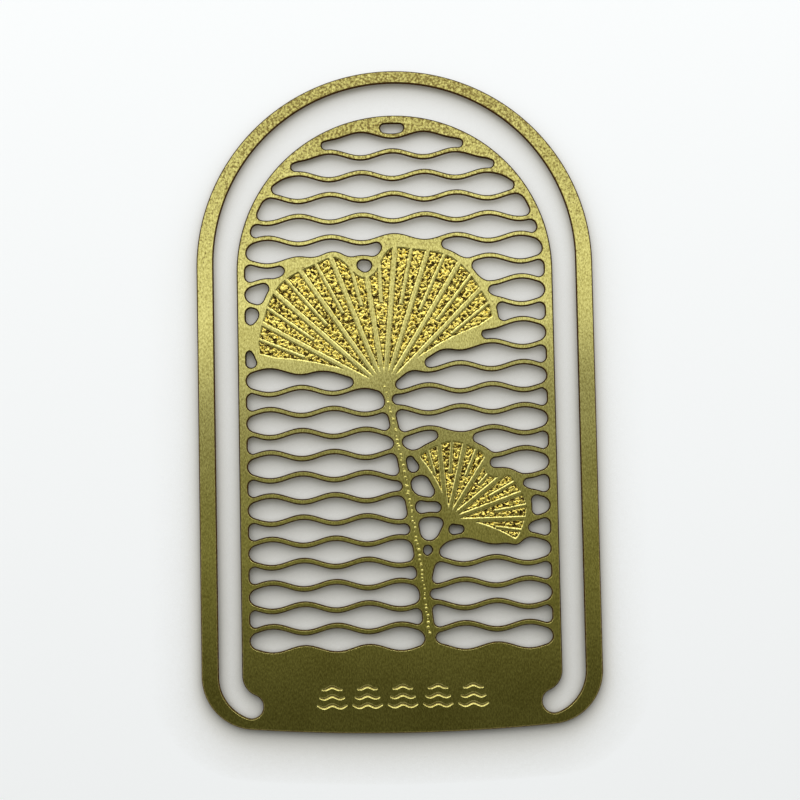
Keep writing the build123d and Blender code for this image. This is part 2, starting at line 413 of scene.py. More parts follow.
@dataclass(frozen=True)
class SheetPlan:
    """Plan of the whole sheet in millimetres. Depths are positive inside the shape that they measure."""

    half_width: float
    half_height: float
    thickness: float
    arch_y: float
    loop_inner_half: float
    tongue_half: float
    tongue_arch_y: float
    window_half: float
    flex_y: float
    bar_count: int
    crown_width: float = 1.47
    corner_radius: float = 6.0
    bottom_bow: float = 0.65
    hook_radius: float = 3.7
    hook_turn: float = 68.0
    plaque_height: float = 9.6
    bar_width: float = 0.65
    crown_bar_drop: float = 1.015
    ripple_length: float = 7.2
    ripple_height: float = 0.37
    gap_radius: float = 0.64
    slit_radius: float = 0.15

    @classmethod
    def from_frame(cls) -> "SheetPlan":
        """Reads the sheet's main sizes from the boxes of the frame's nodes."""
        arch_low, arch_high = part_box("loop_arch")
        rim_low, rim_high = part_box("rim_arch")
        bars = [node for node in frame["nodes"] if node.startswith("ripple_bar_")]
        return cls(
            half_width=arch_high.x / MM,
            half_height=arch_high.y / MM,
            thickness=arch_high.z / MM,
            arch_y=arch_low.y / MM,
            loop_inner_half=-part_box("loop_leg_left")[1].x / MM,
            tongue_half=rim_high.x / MM,
            tongue_arch_y=rim_low.y / MM,
            window_half=-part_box("rim_left")[1].x / MM,
            flex_y=frame["joints"][0]["pos_m"][1] / MM,
            bar_count=len(bars),
        )

    @property
    def corner_x(self) -> float:
        """Distance of the round corners' centres from the middle."""
        return self.half_width - self.corner_radius

    @property
    def bow_radius(self) -> float:
        """Radius of the gently bowed bottom edge."""
        return (self.corner_x**2 + self.bottom_bow**2) / (2 * self.bottom_bow)

    @property
    def corner_y(self) -> float:
        """Height of the round corners' centres."""
        drop = math.sqrt((self.bow_radius - self.corner_radius) ** 2 - self.corner_x**2)
        return self.bow_radius - self.half_height - drop

    @property
    def plaque_edge_y(self) -> float:
        """Mean height of the plaque's rippled upper edge."""
        return self.plaque_height - self.half_height

    @property
    def crown_bar_y(self) -> float:
        """Mean height of the topmost bar."""
        return self.tongue_arch_y + self.window_half - self.crown_bar_drop

    @property
    def bar_pitch(self) -> float:
        """Spacing of the bars."""
        return (self.crown_bar_y - self.plaque_edge_y + self.bar_width / 2) / self.bar_count

    def ripple(self, x: Array, row: int) -> Array:
        """Height of a row's wave over its mean. Neighbouring rows mirror each other."""
        sign = 1.0 if row % 2 == 0 else -1.0
        return sign * self.ripple_height * np.cos(2 * math.pi * x / self.ripple_length)

    def outline(self, x: Array, y: Array) -> Array:
        """Depth into the sheet's outer shape."""
        aside = np.abs(x)
        bow_y = self.bow_radius - self.half_height
        bow = self.bow_radius - np.hypot(x, y - bow_y)
        corner = self.corner_radius - np.hypot(aside - self.corner_x, y - self.corner_y)
        beyond = aside * (bow_y - self.corner_y) > self.corner_x * (bow_y - y)
        in_corner = (aside > self.corner_x) & (y < self.corner_y) & beyond
        plain = np.minimum(arched(x, y, self.half_width, self.arch_y), bow)
        return np.where(in_corner, corner, plain)

    def slot(self, x: Array, y: Array) -> Array:
        """Depth into the slot between loop and tongue, with its hooked round ends beside the plaque."""
        inner_arch_y = self.half_height - self.crown_width - self.loop_inner_half
        inside = arched(x, y, self.loop_inner_half, inner_arch_y)
        straight = np.minimum(inside, -arched(x, y, self.tongue_half, self.tongue_arch_y))
        half_slot = (self.loop_inner_half - self.tongue_half) / 2
        centre_x = self.tongue_half + half_slot - self.hook_radius
        across, down = np.abs(x) - centre_x, self.corner_y - y
        turn = math.radians(self.hook_turn)
        bend = half_slot - np.abs(np.hypot(across, down) - self.hook_radius)
        end_x, end_down = self.hook_radius * math.cos(turn), self.hook_radius * math.sin(turn)
        end = half_slot - np.hypot(across - end_x, down - end_down)
        hooked = np.where(np.arctan2(down, across) < turn, bend, end)
        return np.where(down > 0.0, hooked, straight)

    def bars(self, x: Array, y: Array) -> tuple[Array, Array]:
        """Measures the rippled bars and the gaps between them.

        Args:
            x: Places across.
            y: Places along.

        Returns:
            Depth into the nearest bar, or into the plaque below the lowest row, and the radius of the
            rounded ends of the gap at the place.
        """
        turn = 2 * math.pi / self.ripple_length
        slope = self.ripple_height * turn * np.sin(turn * x)
        lean = 1.0 / np.sqrt(1.0 + slope**2)
        deepest = (self.plaque_edge_y + self.ripple(x, self.bar_count + 1) - y) * lean
        second = np.full(x.shape, -np.inf)
        for row in range(1, self.bar_count + 1):
            middle = self.crown_bar_y - (row - 1) * self.bar_pitch + self.ripple(x, row)
            depth = (self.bar_width / 2 - np.abs(y - middle)) * lean
            deepest, second = np.maximum(deepest, depth), np.maximum(second, np.minimum(deepest, depth))
        radius = np.clip(-(deepest + second) / 2, self.slit_radius, self.gap_radius)
        return deepest, np.where(y > self.crown_bar_y + self.ripple(x, 1), self.slit_radius, radius)


@dataclass(frozen=True)
class LeafSpot:
    """Where a leaf sits in the window. Rows are counted in bar pitches, down from the topmost bar."""

    name: str
    foot_x_share: float
    foot_row: float
    height_rows: float
    side: WindowSide
    side_gap: float
    spread_share: float
    direction: float
    cells: int


@dataclass(frozen=True)
class Foliage:
    """The two leaves and the stem that the lattice runs into."""

    plan: SheetPlan
    stem_top_width: float = 0.95
    stem_foot_width: float = 1.35
    stem_bow: float = 0.55
    stem_foot_x_share: float = 0.2
    branch_width: float = 0.85
    branch_bow: float = 0.5
    branch_start_share: float = 0.8
    large_spot: LeafSpot = LeafSpot(
        "leaf_large", foot_x_share=-0.08, foot_row=12.0, height_rows=7.2,
        side=WindowSide.LEFT, side_gap=0.65, spread_share=0.85, direction=98.0, cells=10)
    small_spot: LeafSpot = LeafSpot(
        "leaf_small", foot_x_share=0.32, foot_row=18.15, height_rows=4.0,
        side=WindowSide.RIGHT, side_gap=2.1, spread_share=0.96, direction=48.0, cells=7)

    def leaf(self, spot: LeafSpot, stalk: float) -> FanLeaf:
        """Draws the leaf that a spot describes.

        Args:
            spot: Where the leaf sits. It reaches for the window's edge on the spot's side.
            stalk: Width of its stalk.

        Returns:
            The leaf.
        """
        plan = self.plan
        foot_y = plan.crown_bar_y - spot.foot_row * plan.bar_pitch
        foot = np.array([spot.foot_x_share * plan.window_half, foot_y])
        reach = (plan.window_half - spot.side.value * foot[0] - spot.side_gap) / spot.spread_share
        height = spot.height_rows * plan.bar_pitch
        return FanLeaf(spot.name, foot, spot.direction, reach, height, stalk, spot.cells)

    @property
    def large(self) -> FanLeaf:
        """The upper leaf, which fills the middle of the window."""
        return self.leaf(self.large_spot, self.stem_top_width)

    @property
    def small(self) -> FanLeaf:
        """The lower leaf, on the branch to the right."""
        return self.leaf(self.small_spot, self.branch_width)

    @property
    def stem(self) -> Strip:
        """The main stem, from the large leaf down into the plaque."""
        plan = self.plan
        foot = np.array([self.stem_foot_x_share * plan.window_half,
                         plan.plaque_edge_y - plan.ripple_height - plan.bar_width])
        top = self.large.at(self.large.stalk_share, 0.0)
        return Strip(top, foot, self.stem_bow, self.stem_top_width, self.stem_foot_width)

    @property
    def branch(self) -> Strip:
        """The branch that carries the small leaf."""
        root = self.stem.at(self.branch_start_share)
        top = self.small.at(self.small.stalk_share, 0.0)
        return Strip(root, top, self.branch_bow, self.branch_width, self.branch_width)

    def metal(self, x: Array, y: Array) -> Array:
        """Depth into the metal, before the etching has rounded the corners of the holes."""
        plan = self.plan
        rim = -arched(x, y, plan.window_half, plan.tongue_arch_y)
        leaves = (shape.depth(x, y) for shape in (self.large, self.small, self.stem, self.branch))
        bars, radius = plan.bars(x, y)
        web = filleted(bars, np.maximum.reduce([rim, *leaves]), radius)
        return np.minimum.reduce([plan.outline(x, y), -plan.slot(x, y), web])


@dataclass(frozen=True)
class Edges:
    """Closed edges of a region, with the metal on their left: their points and where each loop starts."""

    points: Array
    starts: list[int]

    @property
    def following(self) -> Array:
        """Index of the point after each point on its loop."""
        after = np.arange(1, len(self.points) + 1)
        ends = [*self.starts[1:], len(self.points)]
        for start, end in zip(self.starts, ends):
            after[end - 1] = start
        return after

    @property
    def before(self) -> Array:
        """Index of the point before each point on its loop."""
        return np.argsort(self.following)

    @property
    def inward(self) -> Array:
        """The way into the metal at each point, square to the edge."""
        run = self.points[self.following] - self.points[self.before]
        return np.column_stack([-run[:, 1], run[:, 0]]) / np.hypot(*run.T)[:, None]

    @property
    def loops(self) -> list[Array]:
        """Points of each loop."""
        return np.split(self.points, self.starts[1:])

    @property
    def holes(self) -> list[Array]:
        """Points of each loop that runs clockwise, so that the metal lies round it."""
        return [loop for loop in self.loops if np.sum(loop[:, 0] * np.gradient(loop[:, 1])) < 0.0]

    def room(self, inset: float, tight: float = 0.5, slack: float = 0.45, least: float = 0.25,
             smoothing: int = 3) -> Array:
        """Measures how much of an inset each point can take before it comes near another edge.

        Args:
            inset: Distance into the metal.
            tight: Share of the inset that has to be clear for any of it to be given.
            slack: Share that has to be clear beyond that for all of it to be given.
            least: Smallest share that is given.
            smoothing: How often a share is evened out with its neighbours' shares.

        Returns:
            Share of the inset at each point.
        """
        after, before = self.following, self.before
        tree = point_tree(np.concatenate([self.points, (self.points + self.points[after]) / 2]))
        spots = self.points + inset * self.inward
        clear = np.array([tree.find((x, y, 0.0))[2] for x, y in spots.tolist()])
        share = np.clip((clear / inset - tight) / slack, least, 1.0)
        for _ in range(smoothing):
            share = np.minimum(share, (share[before] + share + share[after]) / 3)
        return share


@dataclass(frozen=True)
class EdgeTracer:
    """Traces the edges of a plan on a square grid, with the metal on the left, in millimetres."""

    grid: float = 0.1
    spacing: float = 0.2
    shortest: float = 1.2
    nudge: float = 0.01
    settle_steps: int = 3
    least_slope: float = 0.7
    longest_step: float = 0.02

    def slope(self, depth: Depth, points: Array) -> Array:
        """Slope of a depth at some points."""
        x, y = points.T
        step = self.nudge
        across = depth(x + step, y) - depth(x - step, y)
        along = depth(x, y + step) - depth(x, y - step)
        return np.stack([across, along], axis=-1) / (2 * step)

    def crossings(self, value: Array) -> dict[int, int]:
        """Finds which grid line an edge crosses after which.

        Args:
            value: Depth at each grid point.

        Returns:
            The next crossed grid line for each crossed one. An even number is a line across the grid.
        """
        inside = value > 0.0
        corners = [inside[:-1, :-1], inside[:-1, 1:], inside[1:, 1:], inside[1:, :-1]]
        mixed = np.logical_or.reduce(corners) & ~np.logical_and.reduce(corners)
        columns = value.shape[1]
        following = {}
        for row, column in np.argwhere(mixed):
            first = int(row * columns + column)
            lines = (2 * first, 2 * (first + 1) + 1, 2 * (first + columns), 2 * first + 1)
            held = [bool(corner[row, column]) for corner in corners]
            leaving = [k for k in range(4) if held[k] and not held[(k + 1) % 4]]
            entering = [k for k in range(4) if not held[k] and held[(k + 1) % 4]]
            bridged = value[row:row + 2, column:column + 2].sum() > 0.0
            for k in leaving:
                turns = [(entry - k) % 4 for entry in entering]
                chosen = min(turns) if bridged else max(turns)
                following[lines[k]] = lines[(k + chosen) % 4]
        return following

    def trace(self, depth: Depth, low: Array, high: Array) -> Edges:
        """Traces every edge of a region inside a box.

        Args:
            depth: Depth into the region.
            low: Lowest corner of the box.
            high: Highest corner of the box.

        Returns:
            The edges, with points at even spacing.
        """
        xs = np.arange(low[0], high[0] + self.grid, self.grid)
        ys = np.arange(low[1], high[1] + self.grid, self.grid)
        value = depth(*np.meshgrid(xs, ys))
        following = self.crossings(value)
        points, starts, count = [], [], 0
        while following:
            line, after = following.popitem()
            loop = [line]
            while after != line:
                loop.append(after)
                after = following.pop(after)
            even = even_loop(self.places(np.array(loop), value, xs, ys), self.spacing)
            if len(even) * self.spacing < self.shortest:
                continue
            starts.append(count)
            points.append(even)
            count += len(even)
        settled = np.concatenate(points)
        for _ in range(self.settle_steps):
            slope = self.slope(depth, settled)
            steep = np.hypot(*slope.T).clip(self.least_slope, None)
            step = (depth(*settled.T) / steep).clip(-self.longest_step, self.longest_step)
            settled = settled - (step / steep)[:, None] * slope
        return Edges(settled, starts)

    def places(self, lines: Array, value: Array, xs: Array, ys: Array) -> Array:
        """Points where an edge crosses grid lines."""
        row, column = np.divmod(lines // 2, value.shape[1])
        along = lines % 2
        near, far = value[row, column], value[row + along, column + 1 - along]
        part = near / (near - far) * self.grid
        return np.stack([xs[column] + part * (1 - along), ys[row] + part * along], axis=-1)


@dataclass(frozen=True)
class RoundedHoles:
    """A plan whose holes were opened by round tools, which leave no inner corner sharper than themselves."""

    plain: Depth
    outline: Depth
    tools: list[tuple[float, KDTree]]

    @classmethod
    def open(cls, plain: Depth, outline: Depth, radii: tuple[float, ...], corner: Array) -> "RoundedHoles":
        """Traces how far the middle of each tool can go.

        Args:
            plain: Depth into the metal with sharp corners.
            outline: Depth into the sheet as if it had no holes.
            radii: Radii of the tools, largest first. A smaller one opens the holes that a larger one
                can't enter.
            corner: Highest corner of the box, centred on the origin, that holds the plan.

        Returns:
            The rounded plan.
        """
        rough = EdgeTracer(shortest=0.1, settle_steps=0)
        fine = EdgeTracer(spacing=0.05, shortest=0.1, settle_steps=2)
        shut = rough.trace(plain, -corner, corner).holes
        tools = []
        for radius in radii:
            cores = fine.trace(lambda x, y, radius=radius: plain(x, y) + radius, -corner, corner).holes
            cores = [core for core in cores if any(cls.inside(hole, core).all() for hole in shut)]
            fresh = np.concatenate(cores)
            shut = [hole for hole in shut if not cls.inside(hole, fresh).any()]
            tools.append((radius, point_tree(fresh)))
        return cls(plain, outline, tools)

    @staticmethod
    def inside(loop: Array, points: Array) -> Array:
        """Which of the points lie in the box round a loop."""
        return ((points > loop.min(axis=0)) & (points < loop.max(axis=0))).all(axis=1)

    def depth(self, x: Array, y: Array) -> Array:
        """Depth into the metal that the tools leave."""
        depth = self.plain(x, y)
        largest = self.tools[0][0]
        near = (depth < 0.0) & (depth > -largest) & (self.outline(x, y) > 0.0)
        sharp = depth[near]
        rounded = np.full(sharp.shape, np.inf)
        for radius, reach in self.tools:
            places = zip(x[near].tolist(), y[near].tolist())
            gap = np.array([reach.find((*place, 0.0))[2] for place in places])
            in_reach = (sharp < -radius) & (gap < largest)
            rounded = np.minimum(rounded, np.where(in_reach, sharp, gap - radius))
        depth[near] = rounded
        return depth


class MeshDraft:
    """Points and faces of a mesh in the making, in millimetres, with an etch value at each point."""

    def __init__(self) -> None:
        """Starts with nothing."""
        self.points: list[Array] = []
        self.etch: list[Array] = []
        self.faces: list[tuple[int, ...]] = []
        self.count = 0

    def add_points(self, plan: Array, height: Array | float, etch: Array | float) -> int:
        """Adds points and gives the index of the first.

        Args:
            plan: Places across and along, one row each.
            height: Height of each point, or one height for all.
            etch: How much of the etched wall shows at each point, or at all, from 0 to 1.

        Returns:
            Index of the first new point.
        """
        first = self.count
        heights = np.broadcast_to(height, len(plan))
        self.points.append(np.column_stack([plan, heights]))
        self.etch.append(np.broadcast_to(etch, len(plan)))
        self.count += len(plan)
        return first

    def add_wall(self, upper: int, lower: int, edges: Edges) -> None:
        """Adds the faces between two rings of points that follow the same edges."""
        after = edges.following
        here = np.arange(len(edges.points))
        quads = np.column_stack([lower + here, lower + after, upper + after, upper + here])
        self.faces.extend(map(tuple, quads.tolist()))

    def add_seam(self, seam: Edges, thickness: float) -> tuple[int, int]:
        """Adds an upright wall along a seam and gives the first index of its upper and of its lower ring."""
        upper = self.add_points(seam.points, thickness, 0.0)
        lower = self.add_points(seam.points, 0.0, 0.0)
        self.add_wall(upper, lower, seam)
        return upper, lower

    def add_cap(self, rings: list[tuple[int, Edges]], free: Array, side: CapSide) -> None:
        """Fills a face of the sheet between rings of points.

        Args:
            rings: First index and edges of each ring that bounds the face.
            free: Indices of the points of the face that are on no ring.
            side: Which way the face looks.
        """
        ring_points = [np.arange(first, first + len(edges.points)) for first, edges in rings]
        indices = np.concatenate([*ring_points, free])
        plan = np.concatenate(self.points)[indices, :2]
        place = {int(index): order for order, index in enumerate(indices)}
        bounds = []
        for first, edges in rings:
            ends = zip(range(len(edges.points)), edges.following.tolist())
            bounds.extend((place[first + a], place[first + b]) for a, b in ends)
        whole_hull = 0
        tolerance = 1e-7
        spots = [Vector(spot) for spot in plan.tolist()]
        _, _, faces, sources, _, _ = delaunay_2d_cdt(spots, bounds, [], whole_hull, tolerance)
        triangles = [tuple(sources[corner][0] for corner in face) for face in faces]
        for triangle in self.left_of(triangles, bounds):
            corners = tuple(int(indices[corner]) for corner in triangle)
            self.faces.append(corners if side is CapSide.TOP else corners[::-1])

    @staticmethod
    def left_of(triangles: list[tuple[int, ...]], bounds: list[tuple[int, int]]) -> list[tuple[int, ...]]:
        """Keeps the triangles of the region on the left of its directed edges.

        Args:
            triangles: Corners of every triangle, counter-clockwise.
            bounds: Start and end of every edge of the region.

        Returns:
            The triangles that lie in the region.
        """
        owner = {}
        for number, (a, b, c) in enumerate(triangles):
            owner.update({(a, b): number, (b, c): number, (c, a): number})
        edges = set(bounds)
        kept = {owner[edge] for edge in bounds}
        waiting = list(kept)
        while waiting:
            a, b, c = triangles[waiting.pop()]
            for edge in ((a, b), (b, c), (c, a)):
                neighbour = owner.get(edge[::-1])
                if edge not in edges and neighbour is not None and neighbour not in kept:
                    kept.add(neighbour)
                    waiting.append(neighbour)
        return [triangles[number] for number in sorted(kept)]

    def build(self, name: str) -> bpy.types.Mesh:
        """Makes the mesh in metres, with the etch values as an attribute."""
        mesh = bpy.data.meshes.new(name)
        mesh.from_pydata((np.concatenate(self.points) * MM).tolist(), [], self.faces)
        add_attribute(mesh, "etch", np.concatenate(self.etch))
        mesh.validate()
        return mesh


def new_geometry_tree(name: str, inputs: dict[str, str]) -> bpy.types.NodeTree:
    """Starts a geometry tree with named inputs.

    Args:
        name: Name of the tree.
        inputs: Socket type of each input besides the geometry.

    Returns:
        The tree, with its two Geometry sockets.
    """
    tree = bpy.data.node_groups.new(name, "GeometryNodeTree")
    tree.interface.new_socket("Geometry", in_out="INPUT", socket_type="NodeSocketGeometry")
    for label, kind in inputs.items():
        tree.interface.new_socket(label, in_out="INPUT", socket_type=kind)
    tree.interface.new_socket("Geometry", in_out="OUTPUT", socket_type="NodeSocketGeometry")
    return tree


def run_tree(obj: bpy.types.Object, tree: bpy.types.NodeTree, values: dict[str, object]) -> bpy.types.Mesh:
    """Runs a geometry tree on an object and gives the result as a plain mesh.

    Args:
        obj: Object that the tree starts from.
        tree: Tree to run.
        values: Value of each named input.

    Returns:
        The finished mesh. The object keeps no modifier.
    """
    modifier = obj.modifiers.new(tree.name, "NODES")
    modifier.node_group = tree
    for item in tree.interface.items_tree:
        if item.in_out == "INPUT" and item.name in values:
            modifier[item.identifier] = values[item.name]
    graph = bpy.context.evaluated_depsgraph_get()
    mesh = bpy.data.meshes.new_from_object(obj.evaluated_get(graph), depsgraph=graph)
    obj.modifiers.remove(modifier)
    return mesh


def finish_tree(tree: bpy.types.NodeTree, shape: bpy.types.Node, material: bpy.types.NodeSocket) -> None:
    """Ends a geometry tree: its instances become plain geometry, which gets the material."""
    single = add_node(tree, "GeometryNodeRealizeInstances", {"Geometry": shape})
    dressed = add_node(tree, "GeometryNodeSetMaterial", {"Geometry": single, "Material": material})
    add_node(tree, "NodeGroupOutput", {"Geometry": dressed})


@dataclass(frozen=True)
class RolledBrass:
    """Cold-rolled brass sheet, etched to shape: satin, with fine lines along the rolling direction.

    The face is clean in the middle and mottled with brown oxide towards the arch.
    The etched edges are rougher than the face and dull with oxide. They are painted dark brown near the arch
    and lighter near the plaque: painted shade, as the walls that show near the arch face away from the light
    and those near the plaque face it.
    Sizes and places along the sheet are in millimetres.
    """

    bright: str = "#F6EE95"
    dull: str = "#B8AE5D"
    oxide: str = "#6A5322"
    # Wall colours: a dark brown near the arch and a lighter one near the plaque. The change between them is
    # painted shade over the walls' dull oxide.
    wall: str = "#523616"
    clean_lit_wall: str = "#8A7A40"
    roughness: float = 0.14
    wall_roughness: float = 0.39
    line_width: float = 0.13
    line_length: float = 0.32
    line_height: float = 0.0025
    line_detail: float = 3.0
    clouds: Grain = Grain(7.0, 4.0)
    cloud_weight: float = 0.3
    brightness: Ramp = Ramp(0.46, 0.84)
    stains: Grain = Grain(0.28, 4.0, 0.72)
    arch_stain: Ramp = Ramp(2.0, 33.0, 0.0, 0.22)
    staining: Ramp = Ramp(0.6, 0.82, 0.0, 0.85)
    wall_patches: Grain = Grain(0.3, 1.0)
    patching: Ramp = Ramp(0.4, 0.62, 0.65, 0.0)
    wall_oxide_and_shade: Ramp = Ramp(-46.0, 6.0)

    def face(self, tree: bpy.types.NodeTree,
             place: bpy.types.NodeSocket) -> tuple[bpy.types.Node, bpy.types.Node]:
        """Colour and surface of the rolled face.

        Args:
            tree: Tree of the material.
            place: Object coordinates.

        Returns:
            The colour, with rolling lines, soft clouds and oxide stains, and the bump of the lines.
        """
        # Rolling lines, drawn about three times as coarse as real ones so that they show in the render.
        line_scale = [1 / (size * MM) for size in (self.line_width, self.line_length, self.line_width)]
        stretched = add_node(tree, "ShaderNodeMapping", {"Vector": place, "Scale": line_scale})
        lines = add_node(tree, "ShaderNodeTexNoise",
                         {"Vector": stretched, "Scale": 1.0, "Detail": self.line_detail})
        clouds = add_node(tree, "ShaderNodeTexNoise", self.clouds.of(place))
        tone = add_node(tree, "ShaderNodeMath", {0: clouds, 1: self.cloud_weight, 2: lines},
                        operation="MULTIPLY_ADD")
        tone = add_node(tree, "ShaderNodeMapRange", self.brightness.of(tone))
        clean = add_node(tree, "ShaderNodeMix", {0: tone, 6: linear(self.dull), 7: linear(self.bright)},
                         data_type="RGBA")

        # Oxide stains, thick on the arch and gone before the middle of the sheet.
        height = add_node(tree, "ShaderNodeSeparateXYZ", {0: place}).outputs["Y"]
        stains = add_node(tree, "ShaderNodeTexNoise", self.stains.of(place))
        arch = add_node(tree, "ShaderNodeMapRange", self.arch_stain.of(height, MM))
        stain = add_node(tree, "ShaderNodeMath", {0: stains, 1: arch}, operation="ADD")
        stain = add_node(tree, "ShaderNodeMapRange", self.staining.of(stain),
                         interpolation_type="SMOOTHSTEP")
        spotted = add_node(tree, "ShaderNodeMix", {0: stain, 6: clean, 7: linear(self.oxide)},
                           data_type="RGBA")
        bump = add_node(tree, "ShaderNodeBump", {"Distance": self.line_height * MM, "Height": lines})
        return spotted, bump

    def material(self) -> bpy.types.Material:
        """Builds the material on Object coordinates and the etch attribute."""
        material, tree = new_material("rolled_brass_satin")
        place = add_node(tree, "ShaderNodeTexCoord", {}).outputs["Object"]
        etch = add_node(tree, "ShaderNodeAttribute", {}, attribute_name="etch").outputs["Fac"]

        # Walls: painted dark brown towards the arch, where the walls that show face away from the light
        # (painted shade over their dull oxide), and lighter and unevenly bright towards the plaque, where
        # they face it.
        height = add_node(tree, "ShaderNodeSeparateXYZ", {0: place}).outputs["Y"]
        patches = add_node(tree, "ShaderNodeTexNoise", self.wall_patches.of(place))
        patches = add_node(tree, "ShaderNodeMapRange", self.patching.of(patches))
        brown = add_node(tree, "ShaderNodeMapRange", self.wall_oxide_and_shade.of(height, MM))
        brown = add_node(tree, "ShaderNodeMath", {0: brown, 1: patches}, operation="ADD", use_clamp=True)
        wall = add_node(tree, "ShaderNodeMix",
                        {0: brown, 6: linear(self.clean_lit_wall), 7: linear(self.wall)}, data_type="RGBA")
        face, normal = self.face(tree, place)
        colour = add_node(tree, "ShaderNodeMix", {0: etch, 6: face, 7: wall}, data_type="RGBA")
        rough = add_node(tree, "ShaderNodeMapRange",
                         {"Value": etch, "To Min": self.roughness, "To Max": self.wall_roughness})
        connect(tree, tree.nodes[SHADER],
                {"Base Color": colour, "Roughness": rough, "Normal": normal, "Metallic": 1.0})
        return material


@dataclass(frozen=True)
class ReliefBrass:
    """Half-etched brass: the rolled face on the veins, bright stipple, and brown oxide in the hollows."""

    face: RolledBrass
    etched: str = "#FAE677"
    hollow: str = "#3E2A0C"
    roughness: float = 0.24
    grain: Grain = Grain(0.14, 2.0)
    grain_weight: float = 0.3
    darkening: Ramp = Ramp(0.76, 0.98, 0.0, 0.95)

    def material(self) -> bpy.types.Material:
        """Builds the material on Object coordinates and the attributes of the cells."""
        material, tree = new_material("half_etched_brass")
        place = add_node(tree, "ShaderNodeTexCoord", {}).outputs["Object"]
        cell, recess = (add_node(tree, "ShaderNodeAttribute", {}, attribute_name=name).outputs["Fac"]
                        for name in ("cell", "recess"))
        grain = add_node(tree, "ShaderNodeTexNoise", self.grain.of(place))
        dark = add_node(tree, "ShaderNodeMath", {0: grain, 1: self.grain_weight, 2: recess},
                        operation="MULTIPLY_ADD")
        dark = add_node(tree, "ShaderNodeMapRange", self.darkening.of(dark),
                        interpolation_type="SMOOTHSTEP")
        face, normal = self.face.face(tree, place)
        top = add_node(tree, "ShaderNodeMix", {0: cell, 6: face, 7: linear(self.etched)}, data_type="RGBA")
        colour = add_node(tree, "ShaderNodeMix", {0: dark, 6: top, 7: linear(self.hollow)}, data_type="RGBA")
        rough = add_node(tree, "ShaderNodeMapRange",
                         {"Value": cell, "To Min": self.face.roughness, "To Max": self.roughness})
        connect(tree, tree.nodes[SHADER],
                {"Base Color": colour, "Roughness": rough, "Normal": normal, "Metallic": 1.0})
        return material


@dataclass(frozen=True)
class EtchedEdge:
    """Section of an edge etched from both faces: a small lip and a hollow wall on each side of a ridge.

    Sizes are in millimetres.
    """

    lip: float = 0.03
    hollow: float = 0.14
    back_lip: float = 0.04
    lip_share: float = 0.3
    lip_etch: float = 0.6
    hollow_shares: tuple[float, ...] = (0.0, 0.55, 0.87, 1.0)
    back_inset_share: float = 0.8
    back_height_share: float = 0.45

    def rings(self, thickness: float) -> list[tuple[float, float, float]]:
        """Inset, height and etch value of each ring, from the front face to the back."""
        middle = thickness / 2
        turned = self.lip_share * self.lip
        rings = [(self.hollow + self.lip, thickness, 0.0),
                 (self.hollow + turned, thickness - turned, self.lip_etch)]
        for share in self.hollow_shares:
            inset = self.hollow * math.sqrt(1 - share**2)
            rings.append((inset, thickness - self.lip - share * (middle - self.lip), 1.0))
        rings.append((self.back_inset_share * self.hollow, self.back_height_share * middle, 1.0))
        rings.append((self.hollow + self.back_lip, 0.0, 0.0))
        return rings


